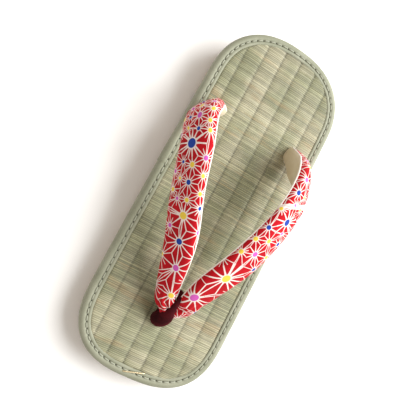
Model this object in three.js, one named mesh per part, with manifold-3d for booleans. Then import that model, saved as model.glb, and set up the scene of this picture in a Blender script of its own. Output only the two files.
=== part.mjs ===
// Zori sandal: a flat sandal with a rush mat footbed, a foam wedge, a rubber outsole and two
// padded straps that a toe post holds together at the front.
// Millimetres. +Y points to the toe, +X to the wearer's right, +Z up; the floor is at z = 0.

import * as THREE from "three";
import { mergeVertices } from "three/addons/utils/BufferGeometryUtils.js";
import Module from "manifold-3d";

const wasm = await Module();
wasm.setup();

// ---------------------------------------------------------------- driving dimensions

const LENGTH = 240;
const HALF_LENGTH = LENGTH / 2;
const HEEL_HALF_WIDTH = 45.7;
const TOE_HALF_WIDTH = 48.2;
const WAIST_FULLNESS = 1;
const HEEL_CAP = { reach: 41, power: 2.33 };
const TOE_CAP = { reach: 46, power: 2.7 };

const HEEL_HEIGHT = 28.4;
const TOE_HEIGHT = 16.8;
const TOE_SPRING = { start: 62, rise: 2.5 };

const GAP = 0.3;
const LOOP_POINTS = { cap: 22, side: 9 };
const INNER_SCALES = [0.9, 0.72, 0.4];

const OUTSOLE = { inset: 2.5, height: 5, edgeRound: 1 };
const SHANK = { front: -39, back: -68, depth: 1 };
const BREAST_GROOVE = { front: -59.5, back: -65.5, depth: 3 };
const ZIGZAG = { halfPeriod: 9, rise: 6.6 };

const TAPE = { thickness: 1.2, width: 7.5, height: 8.5, corner: 2.6 };
const MIDSOLE = { topInset: 0.8, bottomInset: 2.2 };
const MAT = { step: 1.5, crown: 0.8, crownReach: 3 };

const POST_HOLE = { x: 0, y: 78.6, radius: 6.8 };
const STRAP_HOLE = { halfWidth: 5.4, halfLength: 7.2, depth: 9 };

const STRAP_POINTS = 14;
const STRAP_STEPS = 26;
const STRAP_CROWN = 1.18;
const STRAP_BACK = 0.82;
const STRAP_FULLNESS = 0.78;

// One row for each section of a strap, from the joint at the front to the end in its hole.
// out and y place the section's middle, rise is its height over the footbed, lean turns its
// width from level (0) to upright (90) with the outer edge down.
const RIGHT_STRAP = [
  { out: 2, y: 70.5, rise: 12, halfWidth: 3.6, halfDepth: 2.4, lean: 25 },
  { out: 6.8, y: 64, rise: 15.5, halfWidth: 6.2, halfDepth: 3, lean: 33 },
  { out: 18.5, y: 29, rise: 27, halfWidth: 10.4, halfDepth: 3.8, lean: 45 },
  { out: 30.6, y: 1.5, rise: 34, halfWidth: 10.8, halfDepth: 3.9, lean: 50 },
  { out: 37.8, y: -21.5, rise: 35, halfWidth: 11, halfDepth: 4.2, lean: 52 },
  { out: 41.5, y: -39.5, rise: 27.5, halfWidth: 11.2, halfDepth: 4.6, lean: 64 },
  { out: 36, y: -50, rise: 13.5, halfWidth: 8.4, halfDepth: 4.8, lean: 96 },
  { out: 30, y: -54, rise: 2, halfWidth: 5.2, halfDepth: 3.8, lean: 102 },
  { out: 29.5, y: -55, rise: -6, halfWidth: 4.4, halfDepth: 3.2, lean: 100 },
];
const LEFT_STRAP = [
  { out: 1, y: 70.5, rise: 12, halfWidth: 3.8, halfDepth: 2.4, lean: 10 },
  { out: 5.6, y: 65, rise: 15.5, halfWidth: 5.8, halfDepth: 3, lean: 16 },
  { out: 10, y: 48, rise: 26, halfWidth: 9.4, halfDepth: 3.8, lean: 25 },
  { out: 20, y: 21, rise: 35.5, halfWidth: 10.6, halfDepth: 3.9, lean: 28 },
  { out: 29, y: -11, rise: 37, halfWidth: 10.8, halfDepth: 4, lean: 37 },
  { out: 31.4, y: -33, rise: 30, halfWidth: 10.2, halfDepth: 4.6, lean: 52 },
  { out: 29.8, y: -46.5, rise: 14.5, halfWidth: 8.4, halfDepth: 5.6, lean: 90 },
  { out: 27, y: -54.5, rise: 2, halfWidth: 5.4, halfDepth: 4.2, lean: 102 },
  { out: 27, y: -56, rise: -6, halfWidth: 4.4, halfDepth: 3.2, lean: 100 },
];

// One row for each section of the toe post, from its foot in the hole, over the straps' joint
// and down between the straps; the loop then runs back to the post under the joint.
const TOE_POST = [
  { y: 79, rise: -6, halfWidth: 5.4, halfDepth: 5.2 },
  { y: 78, rise: 1.5, halfWidth: 5.8, halfDepth: 5 },
  { y: 75.6, rise: 8, halfWidth: 5.6, halfDepth: 4.2 },
  { y: 71.8, rise: 13.4, halfWidth: 4.4, halfDepth: 3 },
  { y: 66.5, rise: 17.8, halfWidth: 2.2, halfDepth: 2 },
  { y: 61, rise: 20.4, halfWidth: 1.6, halfDepth: 1.5 },
  { y: 57, rise: 17.5, halfWidth: 1.6, halfDepth: 1.5 },
];
const POST_LOOP = [
  { y: 57, rise: 18, halfWidth: 2.2, halfDepth: 1.6 },
  { y: 57.5, rise: 11, halfWidth: 2.8, halfDepth: 1.8 },
  { y: 63, rise: 6, halfWidth: 4, halfDepth: 2.2 },
  { y: 70, rise: 4.5, halfWidth: 4.8, halfDepth: 3 },
  { y: 75.5, rise: 4, halfWidth: 5.4, halfDepth: 3.6 },
];

const COLOURS = {
  outsole: { color: 0xc9a873, roughness: 0.75 },
  midsole: { color: 0xd9d2ca, roughness: 0.8 },
  footbed: { color: 0xa9a67c, roughness: 0.7 },
  binding: { color: 0x9fa689, roughness: 0.75 },
  hanao: { color: 0xc01824, roughness: 0.85 },
  maetsubo: { color: 0x4a0d16, roughness: 0.95 },
};

// ---------------------------------------------------------------- the sole's levels and outline

const along = (y) => (y + HALF_LENGTH) / LENGTH;

function springLift(y) {
  const reach = Math.max(0, y - TOE_SPRING.start) / (HALF_LENGTH - TOE_SPRING.start);
  return TOE_SPRING.rise * reach * reach;
}

const footbedTop = (y) => HEEL_HEIGHT + (TOE_HEIGHT - HEEL_HEIGHT) * along(y) + springLift(y);

function halfWidthAt(y) {
  const s = along(y);
  const taper = HEEL_HALF_WIDTH + (TOE_HALF_WIDTH - HEEL_HALF_WIDTH) * s;
  return taper + WAIST_FULLNESS * 4 * s * (1 - s);
}

function capPoints(cap, direction) {
  const points = [];
  const root = HALF_LENGTH - cap.reach;
  for (let i = 0; i <= LOOP_POINTS.cap; i += 1) {
    const angle = (Math.PI * i) / LOOP_POINTS.cap;
    const side = Math.abs(Math.cos(angle)) ** (2 / cap.power) * Math.sign(Math.cos(angle));
    const reach = Math.abs(Math.sin(angle)) ** (2 / cap.power);
    const y = direction * (root + cap.reach * reach);
    points.push(new THREE.Vector2(direction * side * halfWidthAt(y), y));
  }
  return points;
}

// The sandal's outline, anticlockwise from the ball of the foot on the right side.
function outline() {
  const toe = capPoints(TOE_CAP, 1);
  const heel = capPoints(HEEL_CAP, -1);
  const side = (from, to, sign) => {
    const points = [];
    for (let i = 1; i < LOOP_POINTS.side; i += 1) {
      const y = from + ((to - from) * i) / LOOP_POINTS.side;
      points.push(new THREE.Vector2(sign * halfWidthAt(y), y));
    }
    return points;
  };
  const toeRoot = HALF_LENGTH - TOE_CAP.reach;
  const heelRoot = HEEL_CAP.reach - HALF_LENGTH;
  return [...toe, ...side(toeRoot, heelRoot, -1), ...heel, ...side(heelRoot, toeRoot, 1)];
}

function insetOutline(inset) {
  const loop = outline();
  return loop.map((point, i) => {
    const before = loop[(i + loop.length - 1) % loop.length];
    const after = loop[(i + 1) % loop.length];
    const run = after.clone().sub(before).normalize();
    return new THREE.Vector2(point.x - run.y * inset, point.y + run.x * inset);
  });
}

// ---------------------------------------------------------------- solids

// Joins rings of equal length into a closed mesh. closed rings come back to the first one;
// otherwise a fan closes each end.
function skin(rings, closed = false) {
  const count = rings[0].length;
  const positions = rings.flat().flatMap((point) => [point.x, point.y, point.z]);
  const faces = [];
  const spans = closed ? rings.length : rings.length - 1;
  for (let r = 0; r < spans; r += 1) {
    const here = r * count;
    const next = ((r + 1) % rings.length) * count;
    for (let i = 0; i < count; i += 1) {
      const j = (i + 1) % count;
      faces.push(here + i, here + j, next + j, here + i, next + j, next + i);
    }
  }
  if (!closed) {
    for (const [ring, flip] of [[rings[0], true], [rings.at(-1), false]]) {
      const middle = new THREE.Vector3();
      ring.forEach((point) => middle.addScaledVector(point, 1 / count));
      const hub = positions.length / 3;
      positions.push(middle.x, middle.y, middle.z);
      const start = flip ? 0 : (rings.length - 1) * count;
      for (let i = 0; i < count; i += 1) {
        const pair = [start + i, start + ((i + 1) % count)];
        if (flip) pair.reverse();
        faces.push(hub, ...pair);
      }
    }
  }
  const geometry = new THREE.BufferGeometry();
  geometry.setAttribute("position", new THREE.Float32BufferAttribute(positions, 3));
  geometry.setIndex(faces);
  return geometry;
}

function toSolid(geometry) {
  const bare = geometry.index ? geometry.clone() : geometry;
  bare.deleteAttribute("normal");
  bare.deleteAttribute("uv");
  const merged = mergeVertices(bare, 1e-4);
  const vertProperties = new Float32Array(merged.attributes.position.array);
  const triVerts = new Uint32Array(merged.index.array);
  return new wasm.Manifold(new wasm.Mesh({ numProp: 3, vertProperties, triVerts }));
}

function toGeometry(solid) {
  const mesh = solid.getMesh();
  const geometry = new THREE.BufferGeometry();
  geometry.setAttribute("position", new THREE.Float32BufferAttribute(mesh.vertProperties, 3));
  geometry.setIndex(Array.from(mesh.triVerts));
  geometry.computeVertexNormals();
  return geometry;
}

// A plate made of level rings, from the middle of its underside, out to its edge and back to
// the middle of its top. A profile row gives the edge's inset and its height over the floor.
function plate(profile) {
  const ring = ({ inset, level }, scale = 1) => insetOutline(inset).map((point) => {
    const y = point.y * scale;
    return new THREE.Vector3(point.x * scale, y, level(y));
  });
  const first = profile[0];
  const last = profile.at(-1);
  const rings = [
    ...INNER_SCALES.toReversed().map((scale) => ring(first, scale)),
    ...profile.map((row) => ring(row)),
    ...INNER_SCALES.map((scale) => ring(last, scale)),
  ];
  return toSolid(skin(rings));
}

// An upright prism of a flat outline, between two heights.
function prism(points, bottom, top) {
  const shape = new THREE.Shape(points);
  const geometry = new THREE.ExtrudeGeometry(shape, { depth: top - bottom, bevelEnabled: false });
  return toSolid(geometry.translate(0, 0, bottom));
}

// ---------------------------------------------------------------- outsole

// A zigzag line across the sole, as the edge of a tread field.
function zigzag(y) {
  const count = 2 * Math.ceil(TOE_HALF_WIDTH / ZIGZAG.halfPeriod) + 2;
  const points = [];
  for (let i = 0; i <= count; i += 1) {
    const x = (i - count / 2) * ZIGZAG.halfPeriod;
    points.push(new THREE.Vector2(x, y + (i % 2 ? 0 : ZIGZAG.rise) - ZIGZAG.rise / 2));
  }
  return points;
}

function makeOutsole() {
  const base = (y) => springLift(y);
  const top = (y) => OUTSOLE.height + springLift(y);
  const body = plate([
    { inset: OUTSOLE.inset + OUTSOLE.edgeRound, level: base },
    { inset: OUTSOLE.inset, level: (y) => base(y) + OUTSOLE.edgeRound },
    { inset: OUTSOLE.inset, level: top },
  ]);
  const shankLoop = [...zigzag(SHANK.front), ...zigzag(SHANK.back).reverse()];
  const shank = prism(shankLoop, -1, SHANK.depth);
  const { front, back, depth } = BREAST_GROOVE;
  const grooveLoop = [[-60, back], [60, back], [60, front], [-60, front]];
  const groove = prism(grooveLoop.map(([x, y]) => new THREE.Vector2(x, y)), -1, depth);
  return body.subtract(shank).subtract(groove);
}

// ---------------------------------------------------------------- midsole, footbed, binding

const tapeBottom = (y) => footbedTop(y) - TAPE.height;

function makeMidsole() {
  const bottom = (y) => OUTSOLE.height + GAP + springLift(y);
  const top = (y) => tapeBottom(y) - GAP;
  return plate([
    { inset: MIDSOLE.bottomInset, level: bottom },
    { inset: MIDSOLE.topInset, level: top },
  ]);
}

function makeBinding() {
  const { thickness, width, height, corner } = TAPE;
  const round = corner * (1 - Math.SQRT1_2);
  const inner = thickness + 0.4;
  const section = [
    [width, 0], [corner, 0], [round, -round], [0, -corner],
    [0, corner - height], [round, round - height], [corner, -height], [width, -height],
    [width, thickness - height], [corner, thickness - height],
    [inner, inner - height], [thickness, corner - height],
    [thickness, -corner], [inner, -inner], [corner, -thickness], [width, -thickness],
  ];
  const loops = section.map(([inset, drop]) => insetOutline(inset)
    .map((point) => new THREE.Vector3(point.x, point.y, footbedTop(point.y) + drop)));
  const rings = loops[0].map((_, i) => loops.map((loop) => loop[i]));
  return toSolid(skin(rings, true));
}

function makeFootbed() {
  const edge = TAPE.thickness + GAP;
  const mouth = TAPE.width + GAP;
  const over = (drop) => (y) => footbedTop(y) + drop;
  const board = TAPE.height - TAPE.thickness - GAP;
  const body = plate([
    { inset: mouth, level: over(-TAPE.height) },
    { inset: mouth, level: over(-board) },
    { inset: edge + MAT.step, level: over(-board) },
    { inset: edge, level: over(MAT.step - board) },
    { inset: edge, level: over(-edge - MAT.step) },
    { inset: edge + MAT.step, level: over(-edge) },
    { inset: mouth, level: over(-edge) },
    { inset: mouth, level: over(-MAT.crown) },
    { inset: mouth + MAT.crownReach / 3, level: over(-MAT.crown / 4) },
    { inset: mouth + MAT.crownReach, level: over(0) },
  ]);
  const holes = [ovalHole(POST_HOLE.x, POST_HOLE.y, POST_HOLE.radius, POST_HOLE.radius)];
  for (const [rows, sign] of [[RIGHT_STRAP, 1], [LEFT_STRAP, -1]]) {
    const end = rows.at(-2);
    holes.push(ovalHole(sign * end.out, end.y, STRAP_HOLE.halfWidth, STRAP_HOLE.halfLength));
  }
  return holes.reduce((solid, hole) => solid.subtract(hole), body);
}

function ovalHole(x, y, halfWidth, halfLength) {
  const curve = new THREE.EllipseCurve(x, y, halfWidth, halfLength);
  const top = footbedTop(y);
  return prism(curve.getPoints(20).slice(0, -1), top - STRAP_HOLE.depth, top + 5);
}

// ---------------------------------------------------------------- straps

// A value of a table's column, eased between its rows.
function column(rows, name, position) {
  const low = Math.min(Math.floor(position), rows.length - 2);
  const t = position - low;
  const slope = (i) => {
    const before = rows[Math.max(i - 1, 0)][name];
    const after = rows[Math.min(i + 1, rows.length - 1)][name];
    return (after - before) / 2;
  };
  const [a, b] = [rows[low][name], rows[low + 1][name]];
  const [p, q] = [slope(low), slope(low + 1)];
  const t2 = t * t;
  const t3 = t2 * t;
  return a * (2 * t3 - 3 * t2 + 1) + p * (t3 - 2 * t2 + t) + b * (3 * t2 - 2 * t3) + q * (t3 - t2);
}

// A share of the section's half width or depth, filled out past an ellipse's.
const full = (share) => Math.sign(share) * Math.abs(share) ** STRAP_FULLNESS;

// One padded strap: crowned outside, flatter on the foot's side. sign is +1 on the right.
function strapSolid(rows, sign, grow = 0) {
  const places = rows.map((row) => new THREE.Vector3(
    sign * row.out,
    row.y,
    footbedTop(row.y) + row.rise,
  ));
  const spine = new THREE.CatmullRomCurve3(places);
  const rings = [];
  for (let i = 0; i <= STRAP_STEPS; i += 1) {
    const t = i / STRAP_STEPS;
    const position = t * (rows.length - 1);
    const middle = spine.getPoint(t);
    const tangent = spine.getTangent(t);
    const level = new THREE.Vector3(-tangent.y, tangent.x, 0).normalize().multiplyScalar(sign);
    const raised = new THREE.Vector3().crossVectors(tangent, level).multiplyScalar(sign);
    const lean = THREE.MathUtils.degToRad(column(rows, "lean", position));
    const across = level.clone().multiplyScalar(Math.cos(lean)).addScaledVector(raised, -Math.sin(lean));
    const facing = level.clone().multiplyScalar(Math.sin(lean)).addScaledVector(raised, Math.cos(lean));
    const halfWidth = column(rows, "halfWidth", position) + grow;
    const halfDepth = column(rows, "halfDepth", position);
    const ring = [];
    for (let k = 0; k < STRAP_POINTS; k += 1) {
      const angle = (2 * Math.PI * k) / STRAP_POINTS;
      const side = full(Math.cos(angle)) * halfWidth;
      const depth = full(Math.sin(angle));
      const out = (depth > 0 ? STRAP_CROWN : STRAP_BACK) * halfDepth + grow;
      ring.push(middle.clone().addScaledVector(across, side).addScaledVector(facing, depth * out));
    }
    rings.push(sign > 0 ? ring : ring.reverse());
  }
  return toSolid(skin(rings));
}

function makeHanao(grow = 0) {
  return strapSolid(RIGHT_STRAP, 1, grow).add(strapSolid(LEFT_STRAP, -1, grow));
}

// ---------------------------------------------------------------- toe post

function bandSolid(rows) {
  const places = rows.map((row) => new THREE.Vector3(0, row.y, footbedTop(row.y) + row.rise));
  const spine = new THREE.CatmullRomCurve3(places);
  const steps = 2 * (rows.length - 1);
  const rings = [];
  for (let i = 0; i <= steps; i += 1) {
    const t = i / steps;
    const position = t * (rows.length - 1);
    const middle = spine.getPoint(t);
    const tangent = spine.getTangent(t);
    const across = new THREE.Vector3(1, 0, 0);
    const facing = new THREE.Vector3().crossVectors(across, tangent).normalize();
    const ring = [];
    for (let k = 0; k < STRAP_POINTS; k += 1) {
      const angle = (2 * Math.PI * k) / STRAP_POINTS;
      const side = Math.cos(angle) * column(rows, "halfWidth", position);
      const depth = Math.sin(angle) * column(rows, "halfDepth", position);
      ring.push(middle.clone().addScaledVector(across, side).addScaledVector(facing, depth));
    }
    rings.push(ring.reverse());
  }
  return toSolid(skin(rings));
}

function makeMaetsubo() {
  return bandSolid(TOE_POST).add(bandSolid(POST_LOOP)).subtract(makeHanao(GAP));
}

// ---------------------------------------------------------------- the sandal

const PIECES = {
  outsole: makeOutsole,
  midsole: makeMidsole,
  footbed: makeFootbed,
  binding: makeBinding,
  hanao: makeHanao,
  maetsubo: makeMaetsubo,
};

const sandal = new THREE.Group();
for (const [name, make] of Object.entries(PIECES)) {
  const material = new THREE.MeshStandardMaterial({ metalness: 0, ...COLOURS[name] });
  const mesh = new THREE.Mesh(toGeometry(make()), material);
  mesh.name = name;
  sandal.add(mesh);
}

export default sandal;
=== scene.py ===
# Zori sandal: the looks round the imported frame. Lengths are in millimetres until a mesh is
# made. +Y points to the toe, +X to the wearer's right, +Z up; the floor is at z = 0.

import math

import bmesh
import bpy
import numpy as np
from mathutils import Matrix, Vector


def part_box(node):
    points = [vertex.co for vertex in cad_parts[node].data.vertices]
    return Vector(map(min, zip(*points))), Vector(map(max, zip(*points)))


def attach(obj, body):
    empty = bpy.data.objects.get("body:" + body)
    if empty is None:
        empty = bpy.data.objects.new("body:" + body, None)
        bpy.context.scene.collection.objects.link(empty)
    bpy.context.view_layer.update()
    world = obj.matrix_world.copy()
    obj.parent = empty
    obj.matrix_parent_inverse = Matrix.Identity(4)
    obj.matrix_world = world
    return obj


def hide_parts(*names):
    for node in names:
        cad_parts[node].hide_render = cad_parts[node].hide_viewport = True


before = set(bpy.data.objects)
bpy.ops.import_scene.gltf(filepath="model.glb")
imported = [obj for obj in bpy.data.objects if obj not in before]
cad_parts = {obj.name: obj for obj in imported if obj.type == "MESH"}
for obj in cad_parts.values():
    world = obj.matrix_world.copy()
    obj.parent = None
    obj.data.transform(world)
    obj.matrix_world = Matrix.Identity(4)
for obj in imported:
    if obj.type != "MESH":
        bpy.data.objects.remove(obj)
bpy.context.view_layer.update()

MM = 0.001
rng = np.random.default_rng(11)

# ---- the sandal's own sizes

binding_low, binding_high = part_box("binding")
LENGTH = (binding_high[1] - binding_low[1]) / MM
HALF_LENGTH = LENGTH / 2

HEEL_HALF_WIDTH = 45.7
TOE_HALF_WIDTH = 48.2
WAIST_FULLNESS = 1.0
HEEL_CAP = dict(reach=41.0, power=2.33)
TOE_CAP = dict(reach=46.0, power=2.7)
HEEL_HEIGHT = 28.4
TOE_HEIGHT = 16.8
TOE_SPRING = dict(start=62.0, rise=2.5)

TAPE = dict(width=7.5, height=8.5)
STITCH = dict(inset=4.8, pitch=4.7)
MAT = dict(edge=6.4, column=12.2, first_groove=-4.9, strand=1.06, thickness=5.25)
OUTSOLE = dict(inset=2.5, height=5.0)
RIB_INSET = OUTSOLE["inset"] + 0.15
TREAD = dict(pitch=4.55, groove=1.35, depth=1.7, half_period=9.0, rise=6.6, rooted=0.6)
SHANK = dict(front=-39.0, back=-68.0, depth=1.0, overlap=3.0)
BREAST_GROOVE = dict(front=-59.5, back=-65.5)

# A strap's section: how its half depth is shared out, and how much fuller than an ellipse it is.
STRAP_CROWN = 1.18
STRAP_BACK = 0.82
STRAP_FULLNESS = 0.78

# A row for each section of a strap, from the joint at the front to the end in its hole: its
# middle's place, its height over the footbed, its half width and depth, and its lean in degrees.
STRAP_COLUMNS = ("out", "y", "rise", "half_width", "half_depth", "lean")
RIGHT_STRAP = [
    (2, 70.5, 12, 3.6, 2.4, 25),
    (6.8, 64, 15.5, 6.2, 3, 33),
    (18.5, 29, 27, 10.4, 3.8, 45),
    (30.6, 1.5, 34, 10.8, 3.9, 50),
    (37.8, -21.5, 35, 11, 4.2, 52),
    (41.5, -39.5, 27.5, 11.2, 4.6, 64),
    (36, -50, 13.5, 8.4, 4.8, 96),
    (30, -54, 2, 5.2, 3.8, 102),
    (29.5, -55, -6, 4.4, 3.2, 100),
]
LEFT_STRAP = [
    (1, 70.5, 12, 3.8, 2.4, 10),
    (5.6, 65, 15.5, 5.8, 3, 16),
    (10, 48, 26, 9.4, 3.8, 25),
    (20, 21, 35.5, 10.6, 3.9, 28),
    (29, -11, 37, 10.8, 4, 37),
    (31.4, -33, 30, 10.2, 4.6, 52),
    (29.8, -46.5, 14.5, 8.4, 5.6, 90),
    (27, -54.5, 2, 5.4, 4.2, 102),
    (27, -56, -6, 4.4, 3.2, 100),
]

# A row for each section of the toe post: place, height over the footbed, half width, half depth.
POST_COLUMNS = ("y", "rise", "half_width", "half_depth")
TOE_POST = [
    (79, -6, 5.4, 5.2),
    (78, 1.5, 5.8, 5),
    (75.6, 8, 5.6, 4.2),
    (71.8, 13.4, 4.4, 3),
    (66.5, 17.8, 2.2, 2),
    (61, 20.4, 1.6, 1.5),
    (57, 17.5, 1.6, 1.5),
]
POST_LOOP = [
    (57, 18, 2.2, 1.6),
    (57.5, 11, 2.8, 1.8),
    (63, 6, 4, 2.2),
    (70, 4.5, 4.8, 3),
    (75.5, 4, 5.4, 3.6),
]

CAMERA = dict(
    place=(89.9, 38.8, 331.0),
    target=(5.5, 2.0, 22.6),
    up=(0.475, -0.88, 0.0),
    lens=43.5,
)


# ---- levels and outline

def along(y):
    return (y + HALF_LENGTH) / LENGTH


def spring_lift(y):
    reach = np.maximum(0, y - TOE_SPRING["start"]) / (HALF_LENGTH - TOE_SPRING["start"])
    return TOE_SPRING["rise"] * reach**2


def footbed_top(y):
    return HEEL_HEIGHT + (TOE_HEIGHT - HEEL_HEIGHT) * along(y) + spring_lift(y)


def half_width_at(y):
    s = along(y)
    taper = HEEL_HALF_WIDTH + (TOE_HALF_WIDTH - HEEL_HALF_WIDTH) * s
    return taper + WAIST_FULLNESS * 4 * s * (1 - s)


def cap_points(cap, direction, count=240):
    angle = np.linspace(0, math.pi, count, endpoint=False)
    side = np.abs(np.cos(angle)) ** (2 / cap["power"]) * np.sign(np.cos(angle))
    reach = np.sin(angle) ** (2 / cap["power"])
    y = direction * (HALF_LENGTH - cap["reach"] + cap["reach"] * reach)
    return np.column_stack([direction * side * half_width_at(y), y])


def side_points(start, end, sign, count=120):
    y = np.linspace(start, end, count, endpoint=False)
    return np.column_stack([sign * half_width_at(y), y])


def full_outline():
    toe_root = HALF_LENGTH - TOE_CAP["reach"]
    heel_root = HEEL_CAP["reach"] - HALF_LENGTH
    return np.vstack([
        cap_points(TOE_CAP, 1),
        side_points(toe_root, heel_root, -1),
        cap_points(HEEL_CAP, -1),
        side_points(heel_root, toe_root, 1),
    ])


def spread(loop, count):
    """The closed loop again, as count points evenly far apart."""
    closed = np.vstack([loop, loop[:1]])
    run = np.concatenate([[0], np.cumsum(np.linalg.norm(np.diff(closed, axis=0), axis=1))])
    wanted = np.linspace(0, run[-1], count, endpoint=False)
    return np.column_stack([np.interp(wanted, run, closed[:, k]) for k in range(closed.shape[1])])


def inset_loop(inset, count):
    """The sandal's outline moved in by inset; point i keeps its place along it at any inset."""
    loop = spread(full_outline(), count)
    ahead, behind = np.roll(loop, -1, axis=0), np.roll(loop, 1, axis=0)
    run = unit(ahead - behind)
    return loop + inset * np.column_stack([-run[:, 1], run[:, 0]])


def width_inside(y, inset):
    """Half the width of the inset outline at y."""
    loop = inset_loop(inset, 720)
    right = loop[loop[:, 0] >= 0]
    right = right[np.argsort(right[:, 1])]
    return np.interp(y, right[:, 1], right[:, 0], left=0, right=0)


# ---- meshes

def put_in_scene(name, data):
    thing = bpy.data.objects.new(name, data)
    bpy.context.scene.collection.objects.link(thing)
    return thing


def plain_object(name, points, faces):
    """A mesh object made from points in millimetres, its faces turned outward."""
    mesh = bpy.data.meshes.new(name)
    mesh.from_pydata((np.reshape(points, (-1, 3)) * MM).tolist(), [], faces)
    mesh.validate()
    work = bmesh.new()
    work.from_mesh(mesh)
    bmesh.ops.recalc_face_normals(work, faces=work.faces)
    work.to_mesh(mesh)
    work.free()
    return put_in_scene(name, mesh)


def add_piece(name, points, faces, material, slot, node=None):
    piece = plain_object(name, points, faces)
    piece.data.materials.append(material)
    smooth_all(piece)
    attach(piece, "root")
    if node:
        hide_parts(node)
    return piece


def smooth_all(piece):
    piece.data.polygons.foreach_set("use_smooth", [True] * len(piece.data.polygons))


def set_value(piece, name, values, domain="POINT"):
    """A number for each vertex or face corner, which the piece's material reads by name."""
    layer = piece.data.attributes.new(name, "FLOAT", domain)
    layer.data.foreach_set("value", np.asarray(values, dtype=np.float32).ravel())


def full_turn(around):
    """Angles evenly round a circle."""
    return np.arange(around) / around * math.tau


def unit(vectors):
    return vectors / np.linalg.norm(vectors, axis=1)[:, None]


def bell(offset, reach=1.0):
    """1 at no offset, falling away smoothly over the reach."""
    return np.exp(-((offset / reach) ** 2))


def ring_faces(rings, around, closed=False):
    """Quads that join rings of around points each; closed joins the last ring to the first."""
    spans = rings if closed else rings - 1
    ring, place = np.meshgrid(np.arange(spans), np.arange(around), indexing="ij")
    here, after = ring * around, ((ring + 1) % rings) * around
    following = (place + 1) % around
    corners = [here + place, here + following, after + following, after + place]
    return np.stack(corners, axis=-1).reshape(-1, 4).tolist()


def capped(rings, around):
    """The same quads, with the first and last rings closed by a face each."""
    last = (rings - 1) * around
    ends = [list(range(around))[::-1], list(range(last, last + around))]
    return ring_faces(rings, around) + ends


def merged(parts):
    """One set of points and faces made of several pairs of them."""
    all_points, all_faces, total = [], [], 0
    for points, faces in parts:
        all_points.append(points)
        all_faces += [[total + i for i in face] for face in faces]
        total += len(points)
    return np.vstack(all_points), all_faces


def round_line(middle, across, facing, side, depth):
    """A ring of points round each place of a line, at side across from it and depth out."""
    return (middle[:, None] + across[:, None] * side[..., None]
            + facing[:, None] * depth[..., None])


# ---- materials

class Paint:
    """A material's node tree, with a short way to add a node and link its inputs."""

    def __init__(self, name):
        self.material = bpy.data.materials.new(name)
        self.material.use_nodes = True
        self.tree = self.material.node_tree
        self.shader = self.tree.nodes["Principled BSDF"]

    def add(self, kind, inputs=(), output=0, **settings):
        node = self.tree.nodes.new(kind)
        for key, value in settings.items():
            setattr(node, key, value)
        self.feed(node, dict(inputs))
        return node.outputs[output]

    def feed(self, node, inputs):
        """Sets or links the inputs; text stands for the mesh's value of that name."""
        for key, value in inputs.items():
            if isinstance(value, str):
                value = self.add("ShaderNodeAttribute", output="Fac", attribute_name=value)
            if isinstance(value, bpy.types.NodeSocket):
                self.tree.links.new(value, node.inputs[key])
            else:
                node.inputs[key].default_value = value

    def finish(self, colour, roughness, **inputs):
        inputs = {"Base_Color": colour, "Roughness": roughness, **inputs}
        self.feed(self.shader, {key.replace("_", " "): value for key, value in inputs.items()})
        return self.material

    def place(self):
        return self.add("ShaderNodeTexCoord", output="Object")

    def noise(self, scale, detail=3, stretch=None):
        vector = self.place()
        if stretch:
            vector = self.add("ShaderNodeMapping", {"Vector": vector, "Scale": stretch})
        inputs = {"Vector": vector, "Scale": scale, "Detail": detail}
        return self.add("ShaderNodeTexNoise", inputs)

    def math(self, operation, a, b=0.0, c=0.0):
        return self.add("ShaderNodeMath", {0: a, 1: b, 2: c}, operation=operation)

    def ease(self, value, low, high, out_low=0.0, out_high=1.0):
        inputs = {0: value, 1: low, 2: high, 3: out_low, 4: out_high}
        return self.add("ShaderNodeMapRange", inputs, interpolation_type="SMOOTHSTEP")

    def mix(self, share, a, b, blend="MIX"):
        inputs = {0: share, 6: a, 7: b}
        return self.add("ShaderNodeMix", inputs, 2, data_type="RGBA", blend_type=blend)

    def mottle(self, scale, detail, one, other, low=0.3, high=0.7):
        """Two colours in soft clouds."""
        return self.mix(self.ease(self.noise(scale, detail), low, high), one, other)

    def shade(self, colour, *factors):
        for factor in factors:
            colour = self.mix(1.0, colour, factor, blend="MULTIPLY")
        return colour

    def bump(self, height, distance, strength):
        inputs = {"Height": height, "Distance": distance * MM, "Strength": strength}
        return self.add("ShaderNodeBump", inputs)


def srgb(red, green, blue):
    """A colour given as the eye sees it, 0 to 255, in the renderer's linear numbers."""
    shares = (red / 255, green / 255, blue / 255)
    linear = [c / 12.92 if c <= 0.04045 else ((c + 0.055) / 1.055) ** 2.4 for c in shares]
    return (*linear, 1.0)


# ---- rush mat

STRAND_HEIGHT = 0.34
STRAND_SAMPLES = 4
COLUMN_HEIGHT = 0.62
COLUMNS = dict(count=20, left_of_first=8)
# Neighbouring strands of one bundle share a tone.
BUNDLE = 7
RIM_ROUNDING = 2.4


def groove_share(x):
    """0 in the middle of a mat column, 1 on the groove between two columns."""
    place = (x - MAT["first_groove"]) / MAT["column"]
    return np.abs(2 * (place - np.floor(place)) - 1)


def mat_faces(count, wide):
    """Quads over a grid of count rows, over two floor points a row below, and round the rim."""
    here = np.arange((count - 1) * wide).reshape(count - 1, wide)[:, :-1].ravel()
    faces = np.column_stack([here, here + 1, here + wide + 1, here + wide]).tolist()
    base = count * wide
    for row in range(count - 1):
        low, high = base + 2 * row, row * wide
        faces.append([low, low + 1, low + 3, low + 2])
        faces.append([high, high + wide, low + 2, low])
        faces.append([high + wide - 1, low + 1, low + 3, high + 2 * wide - 1])
    end = (count - 1) * wide
    faces.append([*range(wide), base + 1, base])
    faces.append([*range(end, end + wide), base + 2 * count - 1, base + 2 * count - 2])
    return faces


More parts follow.
